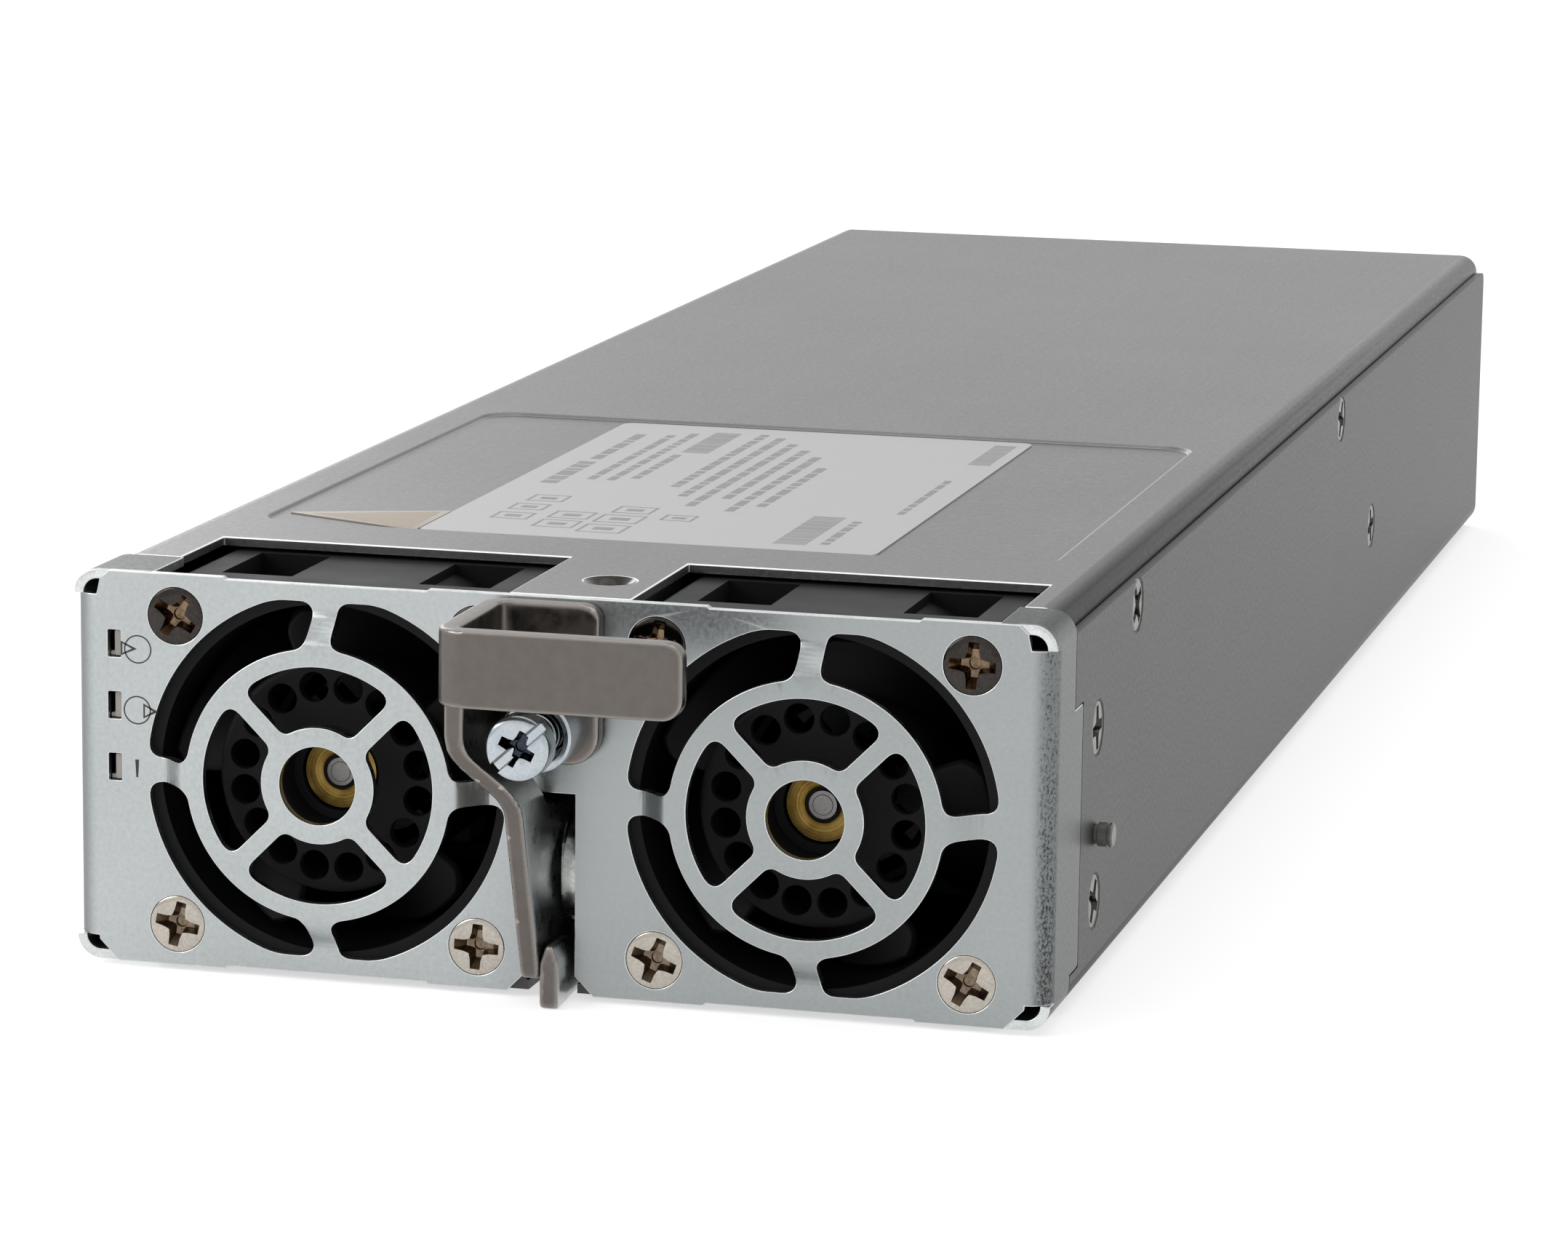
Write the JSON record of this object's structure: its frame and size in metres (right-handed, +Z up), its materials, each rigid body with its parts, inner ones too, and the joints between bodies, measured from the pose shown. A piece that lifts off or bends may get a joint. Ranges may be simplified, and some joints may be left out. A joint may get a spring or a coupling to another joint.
{
  "type": "hot swap server power supply",
  "caption": "Long flat sheet metal power supply for a server bay, with twin front fans, a hinged pull lever with captive screw, and a rear blind mate connector.",
  "frame": {"origin": "centre of the case's underside, half way between the front and rear faces", "axes": "+X to the right seen from the front, +Y from the front fans towards the rear connector, +Z up"},
  "size_m": [0.1039, 0.342, 0.0412],
  "materials": {
    "bezel_zinc": "satin zinc plate",
    "case_zinc": "satin galvanised sheet",
    "cover_zinc": "satin galvanised sheet",
    "screw_nickel": "nickel plate",
    "pin_steel": "turned",
    "lever_stainless": "satin stainless",
    "captive_zinc": "bright zinc",
    "spring_steel": "bright",
    "fan_plastic": "moulded",
    "rotor_plastic": "moulded",
    "brass": "turned",
    "shaft_steel": "ground",
    "magnet": "sintered",
    "lamination": "stacked",
    "bearing_bronze": "sintered",
    "light_pipe_plastic": "clear moulded",
    "led_plastic": "moulded",
    "board_green": "solder mask",
    "film": "film",
    "sink_aluminium": "extruded",
    "device_epoxy": "moulded",
    "capacitor_sleeve": "shrink sleeve",
    "ferrite": "sintered",
    "winding_tape": "tape",
    "copper_wire": "enamelled",
    "connector_plastic": "moulded",
    "contact_gold": "plated",
    "header_nylon": "moulded",
    "label_white": "printed film",
    "label_tan": "printed film"
  },
  "bodies": {
    "case": {"front_bezel": "bezel_zinc", "chassis_tray": "case_zinc", "top_cover": "cover_zinc", "rear_panel": "case_zinc", "left_side_bracket": "case_zinc", "right_side_bracket": "case_zinc", "lever_bracket": "case_zinc", "type_label": "label_white", "caution_label": "label_tan", "side_screws": "screw_nickel", "fan_screws": "screw_nickel", "locating_pin": "pin_steel", "clinch_nut": "captive_zinc", "light_pipes": "light_pipe_plastic", "leds": "led_plastic", "led_board": "board_green", "fan_bearings": "bearing_bronze", "pivot_rivet": "pin_steel", "wave_washer": "spring_steel", "insulation_sheet": "film", "board_standoffs": "pin_steel", "board_screws": "screw_nickel", "main_board": "board_green", "left_heatsink": "sink_aluminium", "right_heatsink": "sink_aluminium", "power_transistors": "device_epoxy", "bulk_capacitors": "capacitor_sleeve", "output_capacitors": "capacitor_sleeve", "transformer_core": "ferrite", "transformer_winding": "winding_tape", "choke_core": "ferrite", "choke_winding": "copper_wire", "input_choke": "ferrite", "output_inductor": "ferrite", "control_board": "board_green", "fan_headers": "header_nylon", "connector_housing": "connector_plastic", "power_blades": "contact_gold", "signal_pins": "contact_gold", "left_fan_frame": "fan_plastic", "left_fan_stator": "lamination", "right_fan_frame": "fan_plastic", "right_fan_stator": "lamination"},
    "lever": {"pull_lever": "lever_stainless", "eject_cam": "lever_stainless", "screw_ferrule": "captive_zinc", "screw_spring": "spring_steel"},
    "screw_carriage": {"screw_collar": "captive_zinc"},
    "captive_screw": {"captive_screw": "captive_zinc"},
    "left_rotor": {"left_fan_rotor": "rotor_plastic", "left_hub_bush": "brass", "left_fan_shaft": "shaft_steel", "left_rotor_magnet": "magnet"},
    "right_rotor": {"right_fan_rotor": "rotor_plastic", "right_hub_bush": "brass", "right_fan_shaft": "shaft_steel", "right_rotor_magnet": "magnet"}
  },
  "joints": [
    {"name": "lever_pivot", "type": "hinge", "parent": "case", "child": "lever", "pos_m": [-0.0013, -0.151, 0.0118], "axis": [1, 0, 0], "range_deg": [0, 55]},
    {"name": "screw_slide", "type": "slide", "parent": "lever", "child": "screw_carriage", "axis": [0, 1, 0], "range_m": [0, 0.0032], "stiffness_N_per_m": 400, "springref_m": -0.003, "deforming": ["screw_spring"]},
    {"name": "screw_spin", "type": "hinge", "parent": "screw_carriage", "child": "captive_screw", "pos_m": [0.00055, -0.168, 0.0281], "axis": [0, 1, 0], "continuous": true},
    {"name": "left_fan_spin", "type": "hinge", "parent": "case", "child": "left_rotor", "pos_m": [-0.024, -0.157, 0.0203], "axis": [0, 1, 0], "continuous": true},
    {"name": "right_fan_spin", "type": "hinge", "parent": "case", "child": "right_rotor", "pos_m": [0.0266, -0.157, 0.0203], "axis": [0, 1, 0], "continuous": true}
  ]
}
